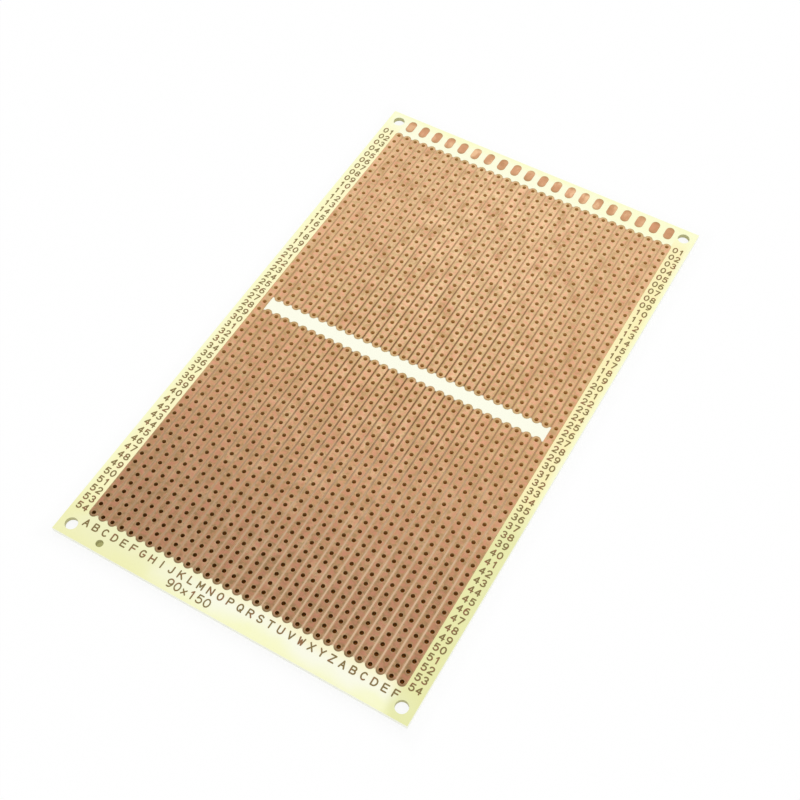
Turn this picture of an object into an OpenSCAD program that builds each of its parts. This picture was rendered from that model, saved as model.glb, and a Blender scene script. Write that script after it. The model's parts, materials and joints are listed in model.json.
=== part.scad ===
// Single-sided prototype board: a glass-epoxy sheet, drilled on a fixed grid,
// with one copper strip along each column of holes. The strips of the inner
// columns stop either side of one undrilled row, and those of the two outer
// columns run the whole length. A row of bare contact pads lies along one end.
// The sheet lies flat with its copper side up: X is its width, Y its length
// towards the contact pads, and the origin is the centre of its underside.

/* [Board] */
// Width of the sheet, across the copper strips
board_w = 90; // [60:0.5:160]
// Length of the sheet, along the copper strips
board_l = 150; // [90:0.5:240]
// Thickness of the sheet
board_t = 1.2; // [0.8:0.1:3.2]

/* [Mounting holes] */
// Diameter of the hole in each corner
corner_hole_d = 3; // [2:0.1:3.6]
// Distance from each corner hole's centre to the two edges beside it
corner_hole_inset = 3; // [2.4:0.1:3.6]

/* [Component holes] */
// Spacing of the holes along both directions
pitch = 2.54; // [2:0.01:5.08]
// Diameter of each component hole
hole_d = 1; // [0.6:0.05:1.2]
// Least bare width kept beside the first and last columns
side_margin = 5.5; // [5:0.1:12]
// Least bare length kept beyond the first and last rows
end_margin = 7.5; // [7:0.1:14]

/* [Copper] */
// Thickness of the copper foil
foil_t = 0.035; // [0.018:0.001:0.14]
// Bare gap between neighbouring strips
strip_gap = 0.4; // [0.2:0.02:0.7]

/* [Contact pads] */
// Spacing of the contact pads
pad_pitch = 4; // [3:0.1:8]
// Width of each contact pad
pad_w = 2.2; // [1.2:0.1:2.8]
// Length of each contact pad, round ends included
pad_l = 4.1; // [3:0.1:4.6]
// Distance from the end of the sheet to the pads' centres
pad_inset = 3.25; // [2.6:0.05:3.6]
// Least bare width kept beside the first and last pads
pad_margin = 6.5; // [6.4:0.1:16]

/* [Guide hole] */
// Diameter of the small hole beside the first corner of the lettered end
guide_hole_d = 1.8; // [1:0.1:2.4]
// Distance from its centre to the edge along the first column
guide_hole_inset_x = 11.4; // [8:0.1:30]
// Distance from its centre to the lettered end
guide_hole_inset_y = 2.1; // [1.9:0.1:3]

/* [Hidden] */
columns = floor((board_w - 2 * side_margin) / pitch) + 1;
rows = floor((board_l - 2 * end_margin) / pitch) + 1;
// The undrilled row between the two banks of strips, counted from the pads' end
break_row = ceil(rows / 2);
// The sheet is written as two halves, which meet face to face between two rows
seam_y = row_y(break_row + 0.5);
strip_w = pitch - strip_gap;
pads = floor((board_w - 2 * pad_margin) / pad_pitch) + 1;
laminate_colour = "#fafcdc";
copper_colour = "#d2a078";
$fn = 24;

// Columns count from 1 at the left and rows from 1 at the pads' end
function column_name(c) = str("copper_column_", c < 10 ? "0" : "", c);
function column_x(c) = (c - (columns + 1) / 2) * pitch;
function row_y(r) = ((rows + 1) / 2 - r) * pitch;
function is_outer(c) = c == 1 || c == columns;

// One circle for each hole of a column between two rows
module column_holes(c, first, last) {
    for (r = [first:last]) if (is_outer(c) || r != break_row)
        translate([column_x(c), row_y(r)]) circle(d = hole_d);
}

// A bar along Y with round ends, between two points on its centre line
module round_bar(y0, y1, width) {
    translate([-width / 2, y0]) square([width, y1 - y0]);
    for (y = [y0, y1]) translate([0, y]) circle(d = width);
}

// The mounting holes at one end of the sheet, 1 at the pads' end and -1 at the other
module corner_holes(end) {
    for (side = [-1, 1])
        translate([side * (board_w / 2 - corner_hole_inset), end * (board_l / 2 - corner_hole_inset)])
            circle(d = corner_hole_d);
}

module guide_hole() {
    translate([guide_hole_inset_x - board_w / 2, guide_hole_inset_y - board_l / 2]) circle(d = guide_hole_d);
}

// The sheet from its middle seam to one end, drilled between two rows; children are cut out of it too
module laminate_half(end, first, last) {
    reach = board_l / 2 - end * seam_y;
    color(laminate_colour)
    linear_extrude(board_t)
    difference() {
        translate([-board_w / 2, min(seam_y, end * board_l / 2)]) square([board_w, reach]);
        corner_holes(end);
        for (c = [1:columns]) column_holes(c, first, last);
        children();
    }
}

// Copper of any outline, bonded to the top face of the sheet
module foil() {
    color(copper_colour)
    translate([0, 0, board_t]) linear_extrude(foil_t) children();
}

// One strip over the holes of a column, from its first row to its last
module copper_strip(c, first, last) {
    foil() difference() {
        translate([column_x(c), 0]) round_bar(row_y(last), row_y(first), strip_w);
        column_holes(c, first, last);
    }
}

// The two strips of an inner column, one on each side of the undrilled row
module copper_column(c) {
    copper_strip(c, 1, break_row - 1);
    copper_strip(c, break_row + 1, rows);
}

module edge_pads() {
    half = (pad_l - pad_w) / 2;
    foil() for (i = [0:pads - 1])
        translate([(i - (pads - 1) / 2) * pad_pitch, board_l / 2 - pad_inset])
            round_bar(-half, half, pad_w);
}

laminate_half(1, 1, break_row);  // laminate_upper
laminate_half(-1, break_row + 1, rows) guide_hole();  // laminate_lower
copper_strip(1, 1, rows);  // copper_side_left
for (c = [2:columns - 1]) copper_column(c);
copper_strip(columns, 1, rows);  // copper_side_right
edge_pads();
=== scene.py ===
"""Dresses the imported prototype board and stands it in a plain, pale studio.

The drilled sheet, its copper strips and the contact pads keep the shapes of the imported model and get
their finishes here. The etched row numbers, column letters and size mark are drawn with a round pen of
constant width and raised by the thickness of the copper. Lengths are in millimetres, and turned into
metres where Blender needs them.
"""

import json
import logging
import math
import string
from dataclasses import dataclass
from enum import Enum

import bpy
from mathutils import Matrix, Vector
from mathutils.geometry import delaunay_2d_cdt

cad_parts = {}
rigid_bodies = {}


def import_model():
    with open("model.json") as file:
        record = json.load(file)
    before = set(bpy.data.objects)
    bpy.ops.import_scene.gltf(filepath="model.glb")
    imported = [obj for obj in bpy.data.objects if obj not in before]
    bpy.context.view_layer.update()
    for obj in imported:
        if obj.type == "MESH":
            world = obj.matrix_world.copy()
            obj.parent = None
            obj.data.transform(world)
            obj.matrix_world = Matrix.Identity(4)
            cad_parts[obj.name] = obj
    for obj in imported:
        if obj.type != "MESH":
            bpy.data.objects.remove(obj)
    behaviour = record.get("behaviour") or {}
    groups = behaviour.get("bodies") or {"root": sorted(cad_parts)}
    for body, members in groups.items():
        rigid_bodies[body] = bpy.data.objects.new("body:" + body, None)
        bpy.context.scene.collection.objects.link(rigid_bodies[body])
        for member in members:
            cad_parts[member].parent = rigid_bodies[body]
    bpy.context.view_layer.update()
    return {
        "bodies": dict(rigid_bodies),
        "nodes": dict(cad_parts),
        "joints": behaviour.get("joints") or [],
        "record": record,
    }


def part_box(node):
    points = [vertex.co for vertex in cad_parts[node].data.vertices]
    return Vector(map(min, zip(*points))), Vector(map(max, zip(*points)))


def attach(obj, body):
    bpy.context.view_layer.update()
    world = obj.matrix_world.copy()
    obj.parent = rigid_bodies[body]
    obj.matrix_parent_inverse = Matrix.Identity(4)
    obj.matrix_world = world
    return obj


MM = 0.001
BODY = "root"
log = logging.getLogger("board")

Colour = tuple[float, float, float]
# Where a smooth step starts and where it ends
Range = tuple[float, float]

BLACK: Colour = (0.0, 0.0, 0.0)
WHITE: Colour = (1.0, 1.0, 1.0)


def srgb(red: int, green: int, blue: int) -> Colour:
    """Turns a colour as seen on a screen into the linear values that a shader takes.

    Args:
        red: Red, from 0 to 255.
        green: Green, from 0 to 255.
        blue: Blue, from 0 to 255.

    Returns:
        The three linear values, from 0 to 1.
    """

    def linear(value: int) -> float:
        share = value / 255
        return share / 12.92 if share <= 0.04045 else ((share + 0.055) / 1.055) ** 2.4

    return linear(red), linear(green), linear(blue)


class Value:
    """A number or colour that varies over a surface, with the usual operators for numbers."""

    def __init__(self, graph: "Graph", socket: bpy.types.NodeSocket) -> None:
        """Wraps one output socket of a graph."""
        self.graph = graph
        self.socket = socket

    def __add__(self, other: "Number") -> "Value":
        """Adds two numbers."""
        return self.graph.math("ADD", self, other)

    def __sub__(self, other: "Number") -> "Value":
        """Takes the other number away."""
        return self.graph.math("SUBTRACT", self, other)

    def __rsub__(self, other: "Number") -> "Value":
        """Takes this number away from the other."""
        return self.graph.math("SUBTRACT", other, self)

    def __mul__(self, other: "Number") -> "Value":
        """Multiplies two numbers."""
        return self.graph.math("MULTIPLY", self, other)

    def __truediv__(self, other: "Number") -> "Value":
        """Divides by the other number."""
        return self.graph.math("DIVIDE", self, other)

    __radd__ = __add__

    def away(self) -> "Value":
        """Gives the number without its sign."""
        return self.graph.math("ABSOLUTE", self)

    def nearest(self) -> "Value":
        """Rounds to the nearest whole number."""
        return self.graph.math("ROUND", self)

    def above(self, low: float, high: float) -> "Value":
        """Gives 0 below low, 1 above high and a smooth step between."""
        return self.graph.step(self, low, high)

    def below(self, low: float, high: float) -> "Value":
        """Gives 1 below low, 0 above high and a smooth step between."""
        return 1 - self.graph.step(self, low, high)

    def between(self, low: float, high: float, soft: float) -> "Value":
        """Gives 1 from low to high and 0 outside, with smooth steps as wide as soft."""
        return self.above(low - soft / 2, low + soft / 2) * self.below(high - soft / 2, high + soft / 2)

    def most(self, other: "Number") -> "Value":
        """Gives the larger of two numbers."""
        return self.graph.math("MAXIMUM", self, other)

    def least(self, other: "Number") -> "Value":
        """Gives the smaller of two numbers."""
        return self.graph.math("MINIMUM", self, other)


Number = Value | float


class Graph:
    """A material's or world's node tree, with one method for maths and one for every other node."""

    def __init__(self, tree: bpy.types.NodeTree) -> None:
        """Empties the tree."""
        self.tree = tree
        tree.nodes.clear()

    def add(self, kind: str, settings: dict | None = None, inputs: dict | None = None) -> bpy.types.Node:
        """Adds a node, sets it up and then fills its sockets.

        Args:
            kind: The node's type.
            settings: Its own properties, such as an operation, which are set first.
            inputs: Values or links for its sockets, by name or number.

        Returns:
            The node.
        """
        node = self.tree.nodes.new(kind)
        for name, value in (settings or {}).items():
            setattr(node, name, value)
        for key, value in (inputs or {}).items():
            socket = node.inputs[key]
            if isinstance(value, Value):
                self.tree.links.new(value.socket, socket)
            elif isinstance(value, tuple) and len(value) == 3 and socket.type == "RGBA":
                socket.default_value = (*value, 1.0)
            else:
                socket.default_value = value
        return node

    def out(self, node: bpy.types.Node, name: str | int = 0) -> Value:
        """Gives one output of a node as a value."""
        return Value(self, node.outputs[name])

    def math(self, operation: str, *terms: Number) -> Value:
        """Gives the result of a Math node's operation on one or two numbers."""
        return self.out(self.add("ShaderNodeMath", {"operation": operation}, dict(enumerate(terms))))

    def step(self, value: Value, low: float, high: float) -> Value:
        """Gives 0 below low, 1 above high and a smooth step between."""
        inputs = {"Value": value, "From Min": low, "From Max": high}
        return self.out(self.add("ShaderNodeMapRange", {"interpolation_type": "SMOOTHSTEP"}, inputs))

    def blend(self, share: Number, first: Value | Colour, second: Value | Colour) -> Value:
        """Mixes two colours.

        Args:
            share: How much of the second colour there is, from 0 to 1.
            first: The colour at 0.
            second: The colour at 1.

        Returns:
            The mixed colour.
        """
        inputs = {0: share, 6: first, 7: second}
        return self.out(self.add("ShaderNodeMix", {"data_type": "RGBA"}, inputs), 2)

    def place(self) -> tuple[Value, Value, Value]:
        """Gives the place on the board in millimetres, as three numbers."""
        coordinates = self.out(self.add("ShaderNodeTexCoord"), "Object")
        split = self.add("ShaderNodeSeparateXYZ", inputs={0: coordinates})
        return tuple(self.out(split, axis) * (1 / MM) for axis in "XYZ")

    def cloud(
        self,
        size: float,
        detail: float = 2.0,
        stretch: tuple[float, float, float] = (1, 1, 1),
        seed: float = 0.0,
    ) -> Value:
        """Gives soft noise on the board's own coordinates.

        Args:
            size: How large its patches are, in millimetres.
            detail: How many finer layers it has.
            stretch: How many times longer the patches are along each axis.
            seed: A shift that gives another pattern.

        Returns:
            A number from about 0.2 to 0.8, around one half.
        """
        coordinates = self.out(self.add("ShaderNodeTexCoord"), "Object")
        scale = tuple(1 / (MM * size * s) for s in stretch)
        inputs = {"Vector": coordinates, "Scale": scale, "Location": (seed, seed * 0.7, seed * 1.3)}
        placed = self.out(self.add("ShaderNodeMapping", inputs=inputs))
        inputs = {"Vector": placed, "Scale": 1.0, "Detail": detail}
        return self.out(self.add("ShaderNodeTexNoise", inputs=inputs))

    def surface(self, inputs: dict, height: Value | None = None, depth: float = 0.0) -> None:
        """Ends the graph in a Principled surface.

        Args:
            inputs: Values or links for the shader's sockets.
            height: What raises and lowers the surface, if anything does.
            depth: How far, in millimetres, a height of 1 stands above a height of 0.
        """
        if height is not None:
            relief = {"Height": height, "Distance": depth * MM, "Strength": 1.0}
            inputs = {**inputs, "Normal": self.out(self.add("ShaderNodeBump", inputs=relief))}
        shader = self.out(self.add("ShaderNodeBsdfPrincipled", inputs=inputs))
        self.add("ShaderNodeOutputMaterial", inputs={"Surface": shader})


def material(name: str) -> tuple[bpy.types.Material, Graph]:
    """Makes an empty node material and its graph."""
    made = bpy.data.materials.new(name)
    made.use_nodes = True
    return made, Graph(made.node_tree)


def dress(piece: bpy.types.Object, finish: bpy.types.Material) -> None:
    """Puts one finish in every material slot of a piece."""
    if not piece.material_slots:
        piece.data.materials.append(finish)
    for held in piece.material_slots:
        held.material = finish


# Width of the smooth step at the edge of a region of holes or strips
SOFT = 0.1
# How far past a strip's last hole the gap beside the strip starts and ends to fade
ROUND_END: Range = (0.1, 0.6)


@dataclass(frozen=True)
class Layout:
    """The board's sizes in millimetres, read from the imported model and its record."""

    width: float
    length: float
    thickness: float
    foil: float
    columns: int
    rows: int
    pitch: float
    hole_radius: float
    corner_radius: float
    corner_x: float
    corner_y: float
    strip_width: float
    pad_y: float
    pad_length: float

    @classmethod
    def of(cls, frame: dict) -> "Layout":
        low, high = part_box("laminate_lower")[0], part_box("laminate_upper")[1]
        side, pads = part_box("copper_side_left"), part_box("edge_pads")
        inner = [name for name in frame["nodes"] if name.startswith("copper_column_")]
        mounts = {mount["name"]: mount for mount in frame["record"]["mounts"]}
        grid, mounting = mounts["component_grid"]["dims"], mounts["corner_holes"]["dims"]
        pitch = grid["spacing_x_mm"] / (len(inner) + 1)
        return cls(
            width=(high.x - low.x) / MM,
            length=(high.y - low.y) / MM,
            thickness=(high.z - low.z) / MM,
            foil=(side[1].z - side[0].z) / MM,
            columns=len(inner) + 2,
            rows=round(grid["spacing_y_mm"] / pitch) + 1,
            pitch=pitch,
            hole_radius=grid["hole_r_mm"],
            corner_radius=mounting["hole_r_mm"],
            corner_x=mounting["spacing_x_mm"] / 2,
            corner_y=mounting["spacing_y_mm"] / 2,
            strip_width=(side[1].x - side[0].x) / MM,
            pad_y=(pads[0].y + pads[1].y) / 2 / MM,
            pad_length=(pads[1].y - pads[0].y) / MM,
        )

    @property
    def break_row(self) -> int:
        """The undrilled row, counted from 1 at the pads' end."""
        return math.ceil(self.rows / 2)

    @property
    def field_x(self) -> float:
        """Distance from the board's middle to the centre line of its outermost columns."""
        return self.column_x(self.columns)

    @property
    def field_y(self) -> float:
        """Distance from the board's middle to the centre line of its outermost rows."""
        return self.row_y(1)

    def column_x(self, column: float) -> float:
        """Gives where a column's centre line lies, columns counted from 1."""
        return (column - (self.columns + 1) / 2) * self.pitch

    def row_y(self, row: float) -> float:
        """Gives where a row's centre line lies, rows counted from 1 at the pads' end."""
        return ((self.rows + 1) / 2 - row) * self.pitch

    def along(self, y: Value) -> Value:
        """Gives how far along the board a place is, from 0 at the lettered end to 1 at the pads' end."""
        return y / self.length + 0.5

    def to_break(self, y: Value) -> Value:
        """Gives the distance from the undrilled row's centre line."""
        return (y - self.row_y(self.break_row)).away()

    def drilled(self, x: Value, y: Value) -> Value:
        """Gives 1 in the field of component holes and 0 beside it and in the undrilled row."""
        reach = self.pitch / 2
        across = x.away().below(self.field_x + reach, self.field_x + reach + SOFT)
        rows = y.away().below(self.field_y + reach, self.field_y + reach + SOFT)
        plain = self.to_break(y).below(reach, reach + SOFT)
        inner = x.away().below(self.field_x - reach, self.field_x - reach + SOFT)
        return across * rows * (1 - plain * inner)

    def between_strips(self, x: Value, y: Value) -> Value:
        """Gives 1 where strips run side by side and 0 beyond their round ends and outermost columns."""
        start, end = ROUND_END
        sides = x.away().below(self.field_x, self.field_x + SOFT)
        ends = y.away().below(self.field_y + start, self.field_y + end)
        middle = self.to_break(y).above(self.pitch - end, self.pitch - start)
        return sides * ends * middle

    def past_end(self, x: Value, y: Value) -> Value:
        """Gives how far a place lies past the last hole of its strip, and less than 0 between holes."""
        last_inner = self.field_x - self.pitch / 2
        outer = x.away().above(last_inner - SOFT / 2, last_inner + SOFT / 2)
        at_break = self.pitch - self.to_break(y) - outer * self.pitch * 2.0
        return at_break.most(y.away() - self.field_y)

    def to_column(self, x: Value) -> Value:
        """Gives the distance from the nearest column's centre line."""
        steps = x / self.pitch + (self.columns - 1) / 2
        return ((steps - steps.nearest()) * self.pitch).away()

    def to_row(self, y: Value) -> Value:
        """Gives the distance from the nearest row's centre line."""
        steps = y / self.pitch + (self.rows - 1) / 2
        return ((steps - steps.nearest()) * self.pitch).away()


def distance(graph: Graph, across: Value, along: Value) -> Value:
    """Gives the length of a step with these two sides."""
    return graph.math("SQRT", across * across + along * along)


@dataclass(frozen=True)
class LaminateFinish:
    """Pale, faintly green glass-epoxy. The walls of its holes carry painted shade and a painted glow that
    stands in for light through the sheet, and the lines between its strips carry painted shade.

    The fields that end in reach are ranges along the board, from 0 at its lettered end to 1 at the pads'
    end, and those that end in x are ranges across it. A share says how strong a tint is, and a wander how
    far noise shifts its edge.
    """

    open_face: Colour = srgb(253, 253, 234)
    rim: Colour = srgb(251, 252, 202)
    cream_left: Colour = srgb(254, 248, 190)
    cream_right: Colour = srgb(252, 239, 172)
    # Darker yellow-green for patches at the sides of the lettered end
    dark_tint: Colour = srgb(230, 232, 164)
    back: Colour = srgb(240, 243, 190)
    side: Colour = srgb(252, 253, 238)
    # Painted shade on the bare lines between the strips: darkest in the middle of the board, paler at its
    # sides and towards both ends
    gap: Colour = srgb(126, 80, 24)
    gap_shade_left: Colour = srgb(174, 138, 102)
    gap_shade_right: Colour = srgb(218, 184, 148)
    gap_shade_far: Colour = srgb(200, 154, 108)
    # Component-hole walls: painted shade, darker at the lettered end, and a painted glow that is dimmer
    # deeper down
    bore_shade: Colour = srgb(146, 110, 62)
    bore_shade_near: Colour = srgb(116, 78, 26)
    bore_glow_top: Colour = srgb(126, 98, 58)
    bore_glow_deep: Colour = srgb(98, 64, 22)
    # Walls of the wide holes: painted shade and a painted glow
    wide_bore_shade: Colour = srgb(184, 182, 140)
    wide_bore_glow: Colour = srgb(84, 82, 54)

    # The margins: the rim, the end with the pads, cream by the strips and letters, darker yellow-green
    # patches at the sides of the lettered end
    rim_width: float = 4.5
    rim_wander: float = 9.0
    pads_reach: Range = (0.93, 0.97)
    pads_x: Range = (0, 30)
    pads_share: Range = (0.45, 0.85)
    cream_start: Range = (-0.5, 0.0)
    cream_stop: Range = (3.0, 4.5)
    cream_ends: Range = (-1, 5)
    cream_wander: float = 4.0
    cream_share: float = 0.85
    cream_x: Range = (-20, 20)
    letters_reach: Range = (0.035, 0.07)
    letters_soft: float = 0.02
    letters_wander: float = 0.03
    letters_share: float = 0.5
    corner_reach: Range = (0.04, 0.1)
    corner_x: Range = (-30, 0)
    corner_wander: float = 30.0
    corner_cream: float = 0.5
    corner_dark_tint: float = 0.55
    dark_tint_reach: Range = (0.31, 0.41)
    dark_tint_x: Range = (37, 41)
    dark_tint_wander: float = 12.0
    dark_tint_share: float = 0.8
    # The lines between the strips, which carry painted shade, and whose seam is measured from the strips'
    # edge
    gap_streaks: float = 0.4
    gap_near_reach: Range = (0.12, 0.5)
    gap_far_reach: Range = (0.5, 0.95)
    gap_x: Range = (-40, 30)
    gap_sides_x: Range = (10, 36)
    gap_sides_share: float = 0.6
    gap_seam: Range = (-0.1, -0.05)
    # The walls of holes and edges, which carry painted shade and a painted glow: depths of the wall are
    # shares of the thickness, the rest millimetres
    lit_reach: Range = (0.0, 0.6)
    wall_depth: Range = (0.015, 0.99)
    wall_soft: float = 0.01
    wall_start: Range = (0.008, 0.012)
    bore_slack: Range = (0.005, 0.01)
    side_depth: Range = (0.004, 0.008)
    skin: Range = (0.02, 0.01)
    # Gloss and relief
    weave: float = 0.6
    weave_share: float = 0.08
    weave_depth: float = 0.004
    roughness: float = 0.24
    unevenness: float = 0.12
    refraction: float = 1.5

    def _margins(self, graph: Graph, layout: Layout, x: Value, y: Value, to_edge: Value) -> Value:
        """Colours the bare margins of the copper side.

        Args:
            graph: The material's graph.
            layout: The board's sizes.
            x: The place across the board.
            y: The place along the board.
            to_edge: The distance from the nearest sawn edge.

        Returns:
            Open face with a deeper rim, cream by the strips and letters, and darker yellow-green patches at
            the sides of the lettered end.
        """
        reach = layout.along(y)
        wander = graph.cloud(14, 3) - 0.5
        rim = (to_edge + wander * self.rim_wander).below(0.0, self.rim_width)
        rim = rim * (graph.cloud(3, 3, seed=3.0) + 0.5).least(1.0)
        faint, full = self.pads_share
        by_pads = reach.above(*self.pads_reach) * (x.above(*self.pads_x) * (full - faint) + faint)
        colour = graph.blend(rim.most(by_pads), self.open_face, self.rim)

        to_copper = x.away() - layout.field_x - layout.strip_width / 2
        start, stop = self.cream_ends
        by_strips = to_copper.above(*self.cream_start) * to_copper.below(*self.cream_stop)
        ends = (y.away() + wander * self.cream_wander).below(layout.field_y + start, layout.field_y + stop)
        by_letters = (reach + wander * self.letters_wander).between(*self.letters_reach, self.letters_soft)
        low_left = reach.below(*self.corner_reach) * (x + wander * self.corner_wander).below(*self.corner_x)
        share = (by_strips * ends * self.cream_share).most(by_letters * self.letters_share)
        cream = graph.blend(x.above(*self.cream_x), self.cream_left, self.cream_right)
        colour = graph.blend(share.most(low_left * self.corner_cream), colour, cream)

        low_right = reach.below(*self.dark_tint_reach) * (x + wander * self.dark_tint_wander).above(*self.dark_tint_x)
        darkened = low_right.most(low_left * self.corner_dark_tint) * self.dark_tint_share
        return graph.blend(darkened, colour, self.dark_tint)

    def _gap_shade(self, graph: Graph, layout: Layout, x: Value, y: Value) -> Value:
        """Paints shade on the bare lines between the strips: darkest in the middle of the board, paler at
        its sides and towards its two ends.
        """
        reach = layout.along(y) + (graph.cloud(0.7, 2, (1, 5, 1), 7.0) - 0.5) * self.gap_streaks
        near, far = reach.below(*self.gap_near_reach), reach.above(*self.gap_far_reach)
        by_sides = x.away().above(*self.gap_sides_x) * self.gap_sides_share
        inner = graph.blend(by_sides, self.gap, self.gap_shade_far)
        outer = graph.blend(x.above(*self.gap_x), self.gap_shade_left, self.gap_shade_right)
        return graph.blend(near, graph.blend(far, inner, self.gap_shade_far), outer)

    def make(self, layout: Layout) -> bpy.types.Material:
        """Builds the material for a board of these sizes."""
        made, graph = material("glass_epoxy")
        x, y, z = graph.place()
        across, along = layout.to_column(x), layout.to_row(y)
        to_edge = (layout.width / 2 - x.away()).least(layout.length / 2 - y.away())
        upper = z.above(*(layout.thickness - skin for skin in self.skin))
        threads_x = graph.math("SINE", x * (2 * math.pi / self.weave))
        threads_y = graph.math("SINE", y * (2 * math.pi / self.weave))
        cloth = threads_x * threads_y

        colour = self._margins(graph, layout, x, y, to_edge)
        colour = graph.blend((cloth * 0.5 + 0.5) * self.weave_share, colour, self.rim)
        colour = graph.blend(upper, self.back, colour)
        colour = graph.blend(to_edge.below(*self.side_depth), colour, self.side)
        # Painted shade on the bare lines between the strips
        seam = across.above(*(layout.strip_width / 2 + shift for shift in self.gap_seam))
        beside = seam * layout.between_strips(x, y) * upper
        colour = graph.blend(beside, colour, self._gap_shade(graph, layout, x, y))

        depth = (layout.thickness - z) / layout.thickness
        wall = depth.between(*self.wall_depth, self.wall_soft) * to_edge.above(*self.wall_start)
        bore_edge = (layout.hole_radius + slack for slack in self.bore_slack)
        bored = distance(graph, across, along).below(*bore_edge) * layout.drilled(x, y)
        # Painted shade on the hole walls: olive in the wide holes, brown in the component holes and darker
        # towards the lettered end. A painted glow stands in for light through the sheet; in the component
        # holes it is dimmer deeper down and none at the lettered end
        lit = layout.along(y).above(*self.lit_reach)
        colour = graph.blend(wall, colour, self.wide_bore_shade)
        colour = graph.blend(bored, colour, graph.blend(lit, self.bore_shade_near, self.bore_shade))
        deep_glow = graph.blend(depth.above(0.0, 1.0), self.bore_glow_top, self.bore_glow_deep)
        glow = graph.blend(wall, BLACK, self.wide_bore_glow)
        glow = graph.blend(bored, glow, graph.blend(lit, BLACK, deep_glow))

        graph.surface(
            {
                "Base Color": colour,
                "Roughness": self.roughness + graph.cloud(3) * self.unevenness,
                "IOR": self.refraction,
                "Emission Color": glow,
                "Emission Strength": 1.0,
            },
            height=cloth * 0.5 + graph.cloud(0.35, 1) * 0.5,
            depth=self.weave_depth,
        )
        return made


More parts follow.
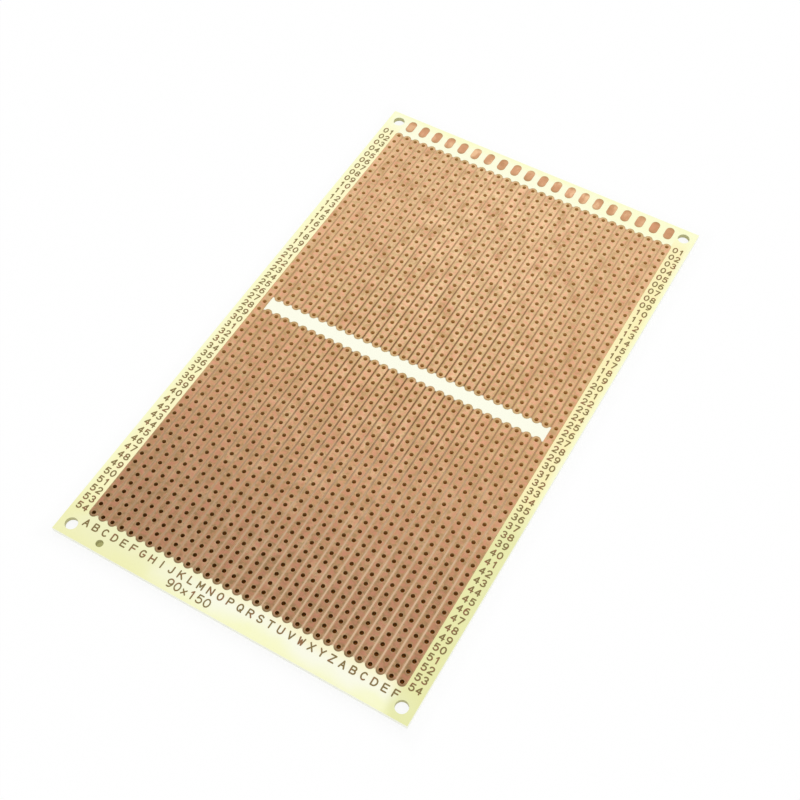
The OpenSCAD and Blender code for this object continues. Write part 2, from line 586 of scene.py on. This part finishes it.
@dataclass(frozen=True)
class CopperFinish:
    """Rolled copper foil under clear lacquer, pinker in the middle of a strip and browner at its edges,
    with partly a painted glint on its edges and hole rims, painted shade that darkens it towards the
    lettered end and a painted reflection of the lamps that lightens it towards the pads' end.

    The fields that end in reach are ranges along the board, from 0 at its lettered end to 1 at the pads'
    end, and those that end in x are ranges across it. A share says how strong a tint is.
    """

    name: str
    by_holes: bool = True

    # Copies darker towards the lettered end (near, near_pink, olive) and lighter towards the pads' end:
    # painted shade and a painted reflection of the lamps
    near: Colour = srgb(178, 135, 92)
    low: Colour = srgb(200, 153, 106)
    far: Colour = srgb(208, 174, 130)
    pink: Colour = srgb(214, 146, 116)
    near_pink: Colour = srgb(200, 131, 106)
    olive: Colour = srgb(128, 108, 68)
    far_olive: Colour = srgb(166, 142, 86)
    # Sallow tints of strip edges and hole rims, partly a painted glint, lighter at the lettered end
    sallow: Colour = srgb(186, 152, 92)
    near_sallow: Colour = srgb(204, 172, 130)
    far_sallow: Colour = srgb(208, 174, 124)
    light: Colour = srgb(226, 190, 146)
    dull: Colour = srgb(174, 130, 86)

    # The plain copper along the board, darker towards the lettered end as painted shade, its mottling and
    # its two sides
    near_reach: Range = (0.08, 0.3)
    low_reach: Range = (0.3, 0.65)
    light_mottle: Range = (0.5, 0.68)
    dull_mottle: Range = (0.32, 0.5)
    mottle_reach: Range = (0.1, 0.9)
    mottle_share: Range = (0.45, 0.9)
    side_x: Range = (6, 34)
    side_share: float = 0.35
    # The strips: sallow edges and hole rims, partly a painted glint, the pink middle with its speckle, and
    # the round ends
    edge_width: Range = (0.35, 0.05)
    edge_wander: float = 0.4
    edge_share: float = 0.6
    rim_width: Range = (0.05, 0.25)
    rim_share: float = 0.8
    sallow_reach: Range = (0.3, 0.5)
    far_sallow_reach: Range = (0.58, 0.8)
    rosy_x: Range = (-10, 40)
    rosy_reach: Range = (0.1, 0.4)
    rosy_share: float = 0.1
    blush_noise: Range = (0.38, 0.62)
    blush_reach: Range = (0.3, 1.1)
    blush_rise: Range = (0.05, 0.55)
    blush_least: float = 0.75
    blush_across: float = 0.3
    blush_along: Range = (0.6, 0.3)
    pink_reach: Range = (0.1, 0.55)
    olive_reach: Range = (0.1, 0.5)
    olive_speckle: Range = (0.5, 0.62)
    olive_share: float = 0.4
    pink_speckle: Range = (0.38, 0.5)
    pink_share: float = 0.45
    end_width: Range = (-0.5, 1.0)
    end_clear: Range = (0.3, 1.0)
    end_share: float = 0.75
    # The pads, whose tips are shares of their length
    tip_length: Range = (0.22, 0.5)
    tip_share: float = 0.6
    pad_noise: Range = (0.4, 0.7)
    pad_share: Range = (0.2, 0.6)
    # Gloss and relief
    metal: float = 0.9
    roughness: float = 0.3
    patchiness: float = 0.2
    streakiness: float = 0.1
    lacquer: float = 0.5
    lacquer_roughness: float = 0.12
    relief: float = 0.003

    def _rolled(self, graph: Graph, x: Value, reach: Value) -> Value:
        """Gives the plain copper: darker and browner at the lettered end as painted shade, lighter at the
        pads' end as a painted reflection, mottled, and duller towards both sides.
        """
        colour = graph.blend(reach.above(*self.low_reach), self.low, self.far)
        colour = graph.blend(reach.above(*self.near_reach), self.near, colour)
        mottle = graph.cloud(2.6, 3, (1, 1.5, 1), 14.0)
        weak, strong = self.mottle_share
        share = reach.above(*self.mottle_reach) * (strong - weak) + weak
        colour = graph.blend(mottle.above(*self.light_mottle) * share, colour, self.light)
        colour = graph.blend(mottle.below(*self.dull_mottle) * share, colour, self.dull)
        return graph.blend(x.away().above(*self.side_x) * self.side_share, colour, self.dull)

    def _strip(self, graph: Graph, layout: Layout, x: Value, y: Value, colour: Value) -> Value:
        """Tints a strip.

        Args:
            graph: The material's graph.
            layout: The board's sizes.
            x: The place across the board.
            y: The place along the board.
            colour: The plain copper.

        Returns:
            The copper with sallow edges and hole rims, partly a painted glint, a pink middle, a fine
            speckle and olive ends.
        """
        reach, half = layout.along(y), layout.strip_width / 2
        across, along = layout.to_column(x), layout.to_row(y)
        to_hole = distance(graph, across, along)
        ragged = graph.cloud(0.8, 2, seed=9.0) * self.edge_wander - self.edge_wander / 2
        edge = (across + ragged).above(*(half - width for width in self.edge_width))
        rim = (to_hole + ragged).below(*(layout.hole_radius + width for width in self.rim_width))
        # Sallow edges and hole rims: partly a painted glint
        sallow = graph.blend(reach.above(*self.sallow_reach), self.near_sallow, self.sallow)
        sallow = graph.blend(reach.above(*self.far_sallow_reach), sallow, self.far_sallow)
        colour = graph.blend(edge.most(rim * self.rim_share) * self.edge_share, colour, sallow)

        pink = graph.blend(reach.above(*self.pink_reach), self.near_pink, self.pink)
        olive = graph.blend(reach.above(*self.olive_reach), self.olive, self.far_olive)
        speckle = graph.cloud(0.9, 2, seed=21.0)
        colour = graph.blend(speckle.above(*self.olive_speckle) * self.olive_share, colour, olive)
        colour = graph.blend(speckle.below(*self.pink_speckle) * self.pink_share, colour, pink)

        rosier = x.above(*self.rosy_x) * reach.below(*self.rosy_reach) * self.rosy_share
        blush = (graph.cloud(2.0, 3, (1, 1.4, 1), 4.0) + rosier).above(*self.blush_noise)
        from_hole, past_middle = self.blush_along
        middle = across.below(half * self.blush_across, half)
        middle = middle * along.above(layout.hole_radius * from_hole, layout.pitch / 2 + past_middle)
        strength = reach.below(*self.blush_reach) * reach.above(*self.blush_rise).most(self.blush_least)
        colour = graph.blend(middle * blush * strength, colour, pink)

        past = (layout.past_end(x, y) + ragged).above(*self.end_width)
        ends = past * (to_hole + ragged).above(*self.end_clear) * self.end_share
        return graph.blend(ends, colour, olive)

    def _pad(self, graph: Graph, layout: Layout, y: Value, patches: Value, colour: Value) -> Value:
        """Tints a pad: pinker patches in its middle and duller round ends."""
        near_tip, at_tip = self.tip_length
        tips = (y - layout.pad_y).away().above(layout.pad_length * near_tip, layout.pad_length * at_tip)
        least, most = self.pad_share
        share = patches.above(*self.pad_noise) * (most - least) + least
        colour = graph.blend(share * (1 - tips), colour, self.pink)
        return graph.blend(tips * self.tip_share, colour, self.dull)

    def make(self, layout: Layout) -> bpy.types.Material:
        """Builds the material for a board of these sizes."""
        made, graph = material(self.name)
        x, y, _ = graph.place()
        patches = graph.cloud(5, 3, (1, 1.6, 1))
        colour = self._rolled(graph, x, layout.along(y))
        if self.by_holes:
            colour = self._strip(graph, layout, x, y, colour)
        else:
            colour = self._pad(graph, layout, y, patches, colour)
        streaks = graph.cloud(0.05, 2, (1, 30, 1), 2.0)
        uneven = (patches - 0.5) * self.patchiness + (streaks - 0.5) * self.streakiness
        graph.surface(
            {
                "Base Color": colour,
                "Metallic": self.metal,
                "Roughness": uneven + self.roughness,
                "Coat Weight": self.lacquer,
                "Coat Roughness": self.lacquer_roughness,
            },
            height=streaks * 0.5 + graph.cloud(0.6, 2, seed=6.0),
            depth=self.relief,
        )
        return made


@dataclass(frozen=True)
class LegendFinish:
    """The thin etched strokes, tarnished to an olive brown with redder spots."""

    brown: Colour = srgb(134, 113, 64)
    red: Colour = srgb(154, 98, 66)
    red_noise: Range = (0.5, 0.62)
    red_share: float = 0.6
    metal: float = 0.3
    roughness: float = 0.45

    def make(self) -> bpy.types.Material:
        """Builds the material."""
        made, graph = material("tarnished_copper")
        spots = graph.cloud(2.2, 2, seed=5.0).above(*self.red_noise)
        colour = graph.blend(spots * self.red_share, self.brown, self.red)
        graph.surface({"Base Color": colour, "Metallic": self.metal, "Roughness": self.roughness})
        return made


# Degrees from one point of an arc to the next
ARC_STEP = 24
# Degrees from which a turn of the pen starts a new part with round ends
SHARP_TURN = 40
# Degrees up to which neighbouring faces count as one flat face
FLAT_TURN = 4
# Millimetres below which two points are one
MERGE = 1e-3


@dataclass(frozen=True)
class Arc:
    """Part of an ellipse in a glyph's own box, drawn from one angle to another in degrees."""

    x: float
    y: float
    rx: float
    ry: float
    start: float
    end: float

    def points(self) -> list[tuple[float, float]]:
        """Gives points along the arc, about ARC_STEP apart."""
        count = max(2, round(abs(self.end - self.start) / ARC_STEP))
        angles = [math.radians(self.start + (self.end - self.start) * i / count) for i in range(count + 1)]
        return [(self.x + self.rx * math.cos(a), self.y + self.ry * math.sin(a)) for a in angles]


Stroke = list[tuple[float, float] | Arc]
RING = Arc(0.5, 0.5, 0.5, 0.5, 90, 450)
STEM = [(0, 0), (0, 1)]

# Each character's strokes, in a box from 0 to 1 both ways
GLYPHS: dict[str, list[Stroke]] = {
    "0": [[RING]],
    "1": [[(0.2, 0.76), (0.55, 1), (0.55, 0)]],
    "2": [[Arc(0.5, 0.7, 0.46, 0.3, 165, -32), (0, 0), (1, 0)]],
    "3": [[Arc(0.48, 0.75, 0.42, 0.25, 155, -90), Arc(0.48, 0.25, 0.5, 0.25, 90, -155)]],
    "4": [[(0.74, 0), (0.74, 1), (0, 0.3), (1, 0.3)]],
    "5": [[(0.92, 1), (0.18, 1), (0.08, 0.52), Arc(0.48, 0.33, 0.5, 0.33, 125, -150)]],
    "6": [[Arc(0.5, 0.32, 0.48, 0.32, 180, 540)], [Arc(0.62, 0.42, 0.6, 0.58, 70, 190)]],
    "7": [[(0, 1), (1, 1), (0.34, 0)]],
    "8": [[Arc(0.5, 0.75, 0.42, 0.25, 90, 450)], [Arc(0.5, 0.25, 0.5, 0.25, 90, 450)]],
    "9": [[Arc(0.5, 0.68, 0.48, 0.32, 0, 360)], [Arc(0.38, 0.58, 0.6, 0.58, 10, -110)]],
    "A": [[(0, 0), (0.5, 1), (1, 0)], [(0.2, 0.36), (0.8, 0.36)]],
    "B": [[(0, 0.52), (0.6, 0.52), Arc(0.6, 0.26, 0.4, 0.26, 90, -90), (0, 0), (0, 1), (0.56, 1),
           Arc(0.56, 0.76, 0.36, 0.24, 90, -90)]],
    "C": [[Arc(0.52, 0.5, 0.52, 0.5, 48, 312)]],
    "D": [[(0, 0), (0, 1), (0.42, 1), Arc(0.42, 0.5, 0.58, 0.5, 90, -90), (0, 0)]],
    "E": [[(0.95, 1), (0, 1), (0, 0), (0.95, 0)], [(0, 0.52), (0.82, 0.52)]],
    "F": [[(0.95, 1), (0, 1), (0, 0)], [(0, 0.52), (0.8, 0.52)]],
    "G": [[Arc(0.52, 0.5, 0.52, 0.5, 48, 330), (1, 0.46), (0.56, 0.46)]],
    "H": [STEM, [(1, 0), (1, 1)], [(0, 0.52), (1, 0.52)]],
    "I": [[(0.5, 0), (0.5, 1)]],
    "J": [[(0.8, 1), Arc(0.44, 0.28, 0.36, 0.28, 0, -165)]],
    "K": [STEM, [(0.95, 1), (0, 0.4)], [(0.34, 0.62), (1, 0)]],
    "L": [[(0.1, 1), (0.1, 0), (0.95, 0)]],
    "M": [[(0, 0), (0, 1), (0.5, 0.3), (1, 1), (1, 0)]],
    "N": [[(0, 0), (0, 1), (1, 0), (1, 1)]],
    "O": [[RING]],
    "P": [[(0, 0), (0, 1), (0.58, 1), Arc(0.58, 0.74, 0.4, 0.26, 90, -90), (0, 0.48)]],
    "Q": [[RING], [(0.62, 0.28), (1, -0.04)]],
    "R": [[(0, 0), (0, 1), (0.58, 1), Arc(0.58, 0.74, 0.4, 0.26, 90, -90), (0, 0.48)],
          [(0.5, 0.48), (1, 0)]],
    "S": [[Arc(0.5, 0.75, 0.44, 0.25, 25, 270), Arc(0.5, 0.25, 0.48, 0.25, 90, -155)]],
    "T": [[(0, 1), (1, 1)], [(0.5, 0.96), (0.5, 0)]],
    "U": [[(0, 1), Arc(0.5, 0.34, 0.5, 0.34, 180, 360), (1, 1)]],
    "V": [[(0, 1), (0.5, 0), (1, 1)]],
    "W": [[(0, 1), (0.25, 0), (0.5, 0.75), (0.75, 0), (1, 1)]],
    "X": [[(0, 0), (1, 1)], [(0, 1), (1, 0)]],
    "Y": [[(0, 1), (0.5, 0.48), (1, 1)], [(0.5, 0.48), (0.5, 0)]],
    "Z": [[(0, 1), (1, 1), (0, 0), (1, 0)]],
    "x": [[(0.1, 0.06), (0.85, 0.62)], [(0.1, 0.62), (0.85, 0.06)]],
}


@dataclass(frozen=True)
class Pen:
    """A round pen that draws glyphs of one size, all lengths in millimetres."""

    height: float
    width: float
    line: float
    tip_faces: int = 4

    def _run(self, stroke: Stroke) -> list[Vector]:
        """Gives a stroke's points at their real size, with the line's own width inside the box."""
        flat: list[tuple[float, float]] = []
        for item in stroke:
            flat += item.points() if isinstance(item, Arc) else [item]
        wide, tall = self.width - self.line, self.height - self.line
        points = [Vector(((u - 0.5) * wide, (v - 0.5) * tall)) for u, v in flat]
        return [p for i, p in enumerate(points) if i == 0 or (p - points[i - 1]).length > MERGE]

    def _smooth_parts(self, run: list[Vector]) -> list[list[Vector]]:
        """Splits a run wherever it turns sharply, so that each part bends only a little at a time."""
        parts = [[run[0]]]
        for before, here, after in zip(run, run[1:], run[2:]):
            parts[-1].append(here)
            if (here - before).angle(after - here) > math.radians(SHARP_TURN):
                parts.append([here])
        parts[-1].append(run[-1])
        return parts

    def _tip(self, centre: Vector, heading: float) -> list[Vector]:
        """Gives the half disc that the pen leaves beyond a point when it moves with this heading."""
        steps = [heading - math.pi / 2 + math.pi * i / self.tip_faces for i in range(self.tip_faces + 1)]
        return [centre + Vector((math.cos(a), math.sin(a))) * (self.line / 2) for a in steps]

    def _swept(self, part: list[Vector]) -> list[list[Vector]]:
        """Gives the flat faces that the pen sweeps along one smooth part.

        Args:
            part: The part's points. It is a ring if it ends where it starts.

        Returns:
            One outline for each step and, if it isn't a ring, one for each end.
        """
        ring = (part[0] - part[-1]).length < MERGE
        steps = [(b - a).normalized() for a, b in zip(part, part[1:])]
        rails = []
        for i, point in enumerate(part):
            arriving = steps[i - 1] if i > 0 or ring else steps[0]
            leaving = steps[i] if i < len(steps) else (steps[0] if ring else steps[-1])
            middle = (arriving + leaving).normalized()
            reach = self.line / 2 / middle.dot(arriving)
            side = Vector((middle.y, -middle.x)) * reach
            rails.append((point + side, point - side))
        faces = [[r0, r1, l1, l0] for (r0, l0), (r1, l1) in zip(rails, rails[1:])]
        if not ring:
            for centre, step in ((part[0], -steps[0]), (part[-1], steps[-1])):
                faces.append(self._tip(centre, math.atan2(step.y, step.x)))
        return faces

    def _inked(self, outlines: list[list[Vector]]) -> tuple[list[Vector], list[list[int]]]:
        """Cuts the plane along overlapping outlines and keeps what any of them covers.

        Args:
            outlines: Convex outlines, each running anticlockwise.

        Returns:
            The points and the triangles between them.
        """
        drawn, faces = [], []
        for outline in outlines:
            faces.append(list(range(len(drawn), len(drawn) + len(outline))))
            drawn += outline
        points, _, triangles, *_ = delaunay_2d_cdt(drawn, [], faces, 0, MERGE)
        kept = []
        for triangle in triangles:
            centre = sum((points[i] for i in triangle), Vector((0, 0))) / 3
            turns = ([(b - a).cross(centre - a) for a, b in zip(o, o[1:] + o[:1])] for o in outlines)
            if any(min(turn) > -MERGE / 10 for turn in turns):
                kept.append(triangle)
        return points, kept

    def glyph(self, character: str, thickness: float) -> bpy.types.Object:
        """Draws a character as a closed plate this many millimetres thick, standing on the origin."""
        outlines = [
            face for stroke in GLYPHS[character] for part in self._smooth_parts(self._run(stroke))
            for face in self._swept(part)
        ]
        points, inked = self._inked(outlines)
        mesh = bpy.data.meshes.new("glyph")
        mesh.from_pydata([(p.x * MM, p.y * MM, 0) for p in points], [], inked)
        drawn = bpy.data.objects.new("glyph", mesh)
        bpy.context.collection.objects.link(drawn)
        select_only(drawn)
        bpy.ops.object.mode_set(mode="EDIT")
        bpy.ops.mesh.select_all(action="SELECT")
        bpy.ops.mesh.delete_loose()
        bpy.ops.mesh.select_all(action="SELECT")
        bpy.ops.mesh.remove_doubles(threshold=MERGE * MM)
        bpy.ops.mesh.dissolve_degenerate(threshold=MERGE * MM)
        bpy.ops.mesh.dissolve_limited(angle_limit=math.radians(FLAT_TURN))
        bpy.ops.mesh.normals_make_consistent(inside=False)
        bpy.ops.object.mode_set(mode="OBJECT")
        if drawn.data.polygons[0].normal.z < 0:
            drawn.data.flip_normals()
        solid = drawn.modifiers.new("foil", "SOLIDIFY")
        solid.thickness = thickness * MM
        solid.offset = 1
        bpy.ops.object.modifier_apply(modifier=solid.name)
        return drawn


def select_only(*pieces: bpy.types.Object) -> None:
    """Deselects everything, then selects these pieces and makes the first one active."""
    bpy.ops.object.select_all(action="DESELECT")
    for piece in pieces:
        piece.select_set(True)
    bpy.context.view_layer.objects.active = pieces[0]


class Side(Enum):
    """The two long sides of the board, as signs along its width."""

    LEFT = -1
    RIGHT = 1


@dataclass
class Legends:
    """The etched row numbers, column letters and size mark, all lengths in millimetres."""

    layout: Layout
    finish: bpy.types.Material
    number_pen: Pen = Pen(height=1.85, width=1.35, line=0.31)
    letter_pen: Pen = Pen(height=1.95, width=1.5, line=0.33)
    mark_pen: Pen = Pen(height=2.15, width=1.6, line=0.3)
    number_centre: float = 42.55
    number_advance: float = 1.65
    letter_shift: float = 0.25
    letter_y: float = -70.2
    mark_start: float = -14.7
    mark_y: float = -72.9
    mark_advance: float = 1.9

    def __post_init__(self) -> None:
        """Starts with no glyph drawn."""
        self.drawn: dict[tuple[Pen, str], bpy.types.Object] = {}

    def _copy(self, pen: Pen, character: str, x: float, y: float) -> bpy.types.Object:
        """Copies a pen's glyph to a place on the sheet's top face, in millimetres."""
        key = (pen, character)
        if key not in self.drawn:
            self.drawn[key] = pen.glyph(character, self.layout.foil)
        copy = self.drawn[key].copy()
        copy.data = copy.data.copy()
        copy.data.transform(Matrix.Translation(Vector((x, y, self.layout.thickness)) * MM))
        bpy.context.collection.objects.link(copy)
        return copy

    def _join(self, name: str, copies: list[bpy.types.Object]) -> None:
        """Joins glyphs into one piece, dresses it and lets it ride on the board."""
        select_only(*copies)
        bpy.ops.object.join()
        piece = bpy.context.view_layer.objects.active
        piece.name = name
        piece.data.name = name
        dress(piece, self.finish)
        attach(piece, BODY)
        log.info("%s: %d glyphs, %d faces", name, len(copies), len(piece.data.polygons))

    def row_numbers(self, side: Side) -> None:
        """Draws the two-figure row numbers down one side."""
        copies = []
        centre = side.value * self.number_centre
        for row in range(1, self.layout.rows + 1):
            for place, digit in enumerate(f"{row:02d}"):
                x = centre + (place - 0.5) * self.number_advance
                copies.append(self._copy(self.number_pen, digit, x, self.layout.row_y(row)))
        self._join(f"row_numbers_{side.name.lower()}", copies)

    def column_letters(self) -> None:
        """Draws one letter below each column, A to Z and then from A again."""
        copies = []
        for column in range(1, self.layout.columns + 1):
            letter = string.ascii_uppercase[(column - 1) % len(string.ascii_uppercase)]
            x = self.layout.column_x(column) + self.letter_shift
            copies.append(self._copy(self.letter_pen, letter, x, self.letter_y))
        self._join("column_letters", copies)

    def size_mark(self) -> None:
        """Draws the sheet's width and length in millimetres as plain numbers."""
        text = f"{self.layout.width:.0f}x{self.layout.length:.0f}"
        copies = [
            self._copy(self.mark_pen, character, self.mark_start + i * self.mark_advance, self.mark_y)
            for i, character in enumerate(text)
        ]
        self._join("size_mark", copies)

    def build(self) -> None:
        """Draws every legend and clears the glyphs that they were copied from."""
        for side in Side:
            self.row_numbers(side)
        self.column_letters()
        self.size_mark()
        for original in self.drawn.values():
            bpy.data.objects.remove(original)


@dataclass
class Board:
    """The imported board's own pieces and their finishes."""

    frame: dict
    layout: Layout

    def dress(self) -> None:
        """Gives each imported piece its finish."""
        laminate = LaminateFinish().make(self.layout)
        strips = CopperFinish("lacquered_copper").make(self.layout)
        bare = {"far": srgb(186, 139, 97), "pink": srgb(202, 138, 102), "dull": srgb(160, 116, 70)}
        pads = CopperFinish("pad_copper", **bare, by_holes=False).make(self.layout)
        finishes = {"laminate_upper": laminate, "laminate_lower": laminate, "edge_pads": pads}
        for name, node in self.frame["nodes"].items():
            dress(node, finishes.get(name, strips))
            log.info("%s: %s", name, node.material_slots[0].material.name)


@dataclass(frozen=True)
class Lamp:
    """A soft rectangular lamp that points at the board, lengths in metres."""

    name: str
    azimuth: float
    elevation: float
    reach: float
    width: float
    height: float
    radiance: float

    def hang(self) -> None:
        """Hangs the lamp."""
        turn, rise = math.radians(self.azimuth), math.radians(self.elevation)
        away = Vector((math.sin(turn) * math.cos(rise), math.cos(turn) * math.cos(rise), math.sin(rise)))
        data = bpy.data.lights.new(self.name, "AREA")
        data.shape = "RECTANGLE"
        data.size, data.size_y = self.width, self.height
        data.energy = self.radiance * math.pi * self.width * self.height
        lamp = bpy.data.objects.new(self.name, data)
        lamp.location = away * self.reach
        lamp.rotation_euler = away.to_track_quat("Z", "Y").to_euler()
        lamp.visible_camera = False
        bpy.context.collection.objects.link(lamp)


@dataclass
class Studio:
    """The floor, the lamps, the background and the camera.

    A glow is the share of the floor's look to the camera that is plain light, and the rest is lit matt.
    Under the board the floor carries painted shade and, where holes show it, a painted glow.
    Lengths are in millimetres, apart from the floor's size and the clip distances in metres.
    """

    layout: Layout
    lamps: tuple[Lamp, ...] = (
        Lamp("back_softbox", azimuth=0, elevation=45, reach=1.2, width=3.2, height=0.86, radiance=0.6),
        Lamp("front_softbox", azimuth=150, elevation=50, reach=1.2, width=1.4, height=0.8, radiance=0.4),
    )
    ambient: float = 0.8
    floor_colour: Colour = srgb(250, 250, 250)
    # Painted shade on the floor under the board: brown under the field of holes, olive under the rim, which
    # also glows
    under_painted_shade: Colour = srgb(200, 124, 44)
    rim_painted_shade: Colour = srgb(178, 176, 118)
    floor_size: float = 6.0
    floor_gap: float = 0.02
    floor_glow: float = 0.97
    shadow_glow: float = 0.6
    # Painted glow: olive under the board's rim, and white light under the corner holes where the board
    # shades the floor
    rim_painted_glow: float = 0.75
    corner_painted_light: float = 0.85
    shadow_reach: float = 5.0
    under_reach: float = 1.2
    soft_edge: float = 0.5
    eye: tuple[float, float, float] = (89.67, -156.11, 255.7)
    target: tuple[float, float, float] = (4.193, -7.388, 1.235)
    roll: float = 0.199
    lens: float = 58.967
    sensor: float = 36.0
    clip: Range = (0.01, 20)

    def background(self) -> None:
        """Lights the scene evenly and shows white behind it."""
        world = bpy.data.worlds.new("studio")
        bpy.context.scene.world = world
        world.use_nodes = True
        graph = Graph(world.node_tree)
        path = graph.add("ShaderNodeLightPath")
        seen = graph.out(path, "Is Camera Ray").most(graph.out(path, "Is Transmission Ray"))
        strength = seen * (1 - self.ambient) + self.ambient
        light = graph.add("ShaderNodeBackground", inputs={"Color": WHITE, "Strength": strength})
        graph.add("ShaderNodeOutputWorld", inputs={"Surface": graph.out(light)})

    def _floor_finish(self) -> bpy.types.Material:
        """Builds the floor's material.

        Returns:
            Plain pale matt, with painted shade where the board covers it, brown under the field of holes
            and olive under the rim, a painted white light under the corner holes, and plain where it is
            seen from below.
        """
        made, graph = material("floor_white")
        layout = self.layout
        seen = graph.out(graph.add("ShaderNodeLightPath"), "Is Camera Ray")
        below = graph.out(graph.add("ShaderNodeNewGeometry"), "Backfacing")
        x, y, _ = graph.place()
        beyond = (x.away() - layout.width / 2).most(y.away() - layout.length / 2)
        to_corner = distance(graph, x.away() - layout.corner_x, y.away() - layout.corner_y)
        corner = (to_corner - layout.corner_radius - self.under_reach).below(0.0, self.soft_edge)
        bare = beyond.above(-self.soft_edge, 0.0).most(corner).most(below)
        past_field = (x.away() - layout.field_x).most(y.away() - layout.field_y)
        rim = past_field.above(layout.pitch / 2, layout.pitch)
        # Painted shade under the board: brown under the field of holes, olive under its rim
        under = graph.blend(rim, self.under_painted_shade, self.rim_painted_shade)
        ground = graph.blend(bare, under, self.floor_colour)
        matt = graph.add("ShaderNodeBsdfDiffuse", inputs={"Color": ground})
        shine = {"Color": graph.blend(bare, self.rim_painted_shade, WHITE), "Strength": 1.0}
        light = graph.add("ShaderNodeEmission", inputs=shine)
        brighter = self.floor_glow - self.shadow_glow
        clear = beyond.above(0.0, self.shadow_reach) * brighter + self.shadow_glow
        # Painted glow: olive under the board's rim, white under the corner holes
        glow = (bare * clear).most(rim * self.rim_painted_glow).most(corner * self.corner_painted_light)
        glow = glow.most(below * self.floor_glow)
        shares = {0: seen * glow, 1: graph.out(matt), 2: graph.out(light)}
        mixed = graph.add("ShaderNodeMixShader", inputs=shares)
        graph.add("ShaderNodeOutputMaterial", inputs={"Surface": graph.out(mixed)})
        return made

    def floor(self) -> None:
        """Lays the floor under the board."""
        bpy.ops.object.select_all(action="DESELECT")
        bpy.ops.mesh.primitive_plane_add(size=self.floor_size, location=(0, 0, -self.floor_gap * MM))
        ground = bpy.context.object
        ground.name = "floor"
        dress(ground, self._floor_finish())

    def camera(self) -> None:
        """Stands the camera where the photograph was taken from."""
        data = bpy.data.cameras.new("camera")
        data.lens = self.lens
        data.sensor_width = self.sensor
        data.clip_start, data.clip_end = self.clip
        camera = bpy.data.objects.new("camera", data)
        back = (Vector(self.eye) - Vector(self.target)).normalized()
        roll = Matrix.Rotation(math.radians(self.roll), 3, "Z").to_quaternion()
        camera.rotation_euler = (back.to_track_quat("Z", "Y") @ roll).to_euler()
        camera.location = Vector(self.eye) * MM
        bpy.context.collection.objects.link(camera)
        bpy.context.scene.camera = camera

    def build(self) -> None:
        """Sets the whole studio up."""
        bpy.context.scene.view_settings.view_transform = "Standard"
        self.background()
        self.floor()
        for lamp in self.lamps:
            lamp.hang()
        self.camera()


def main() -> None:
    """Loads the board, dresses it, draws its legends and sets up the studio."""
    logging.basicConfig(level=logging.INFO, format="%(name)s %(message)s")
    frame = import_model()
    layout = Layout.of(frame)
    log.info("layout: %s", layout)
    Board(frame, layout).dress()
    Legends(layout, LegendFinish().make()).build()
    Studio(layout).build()


if __name__ == "__main__":
    main()
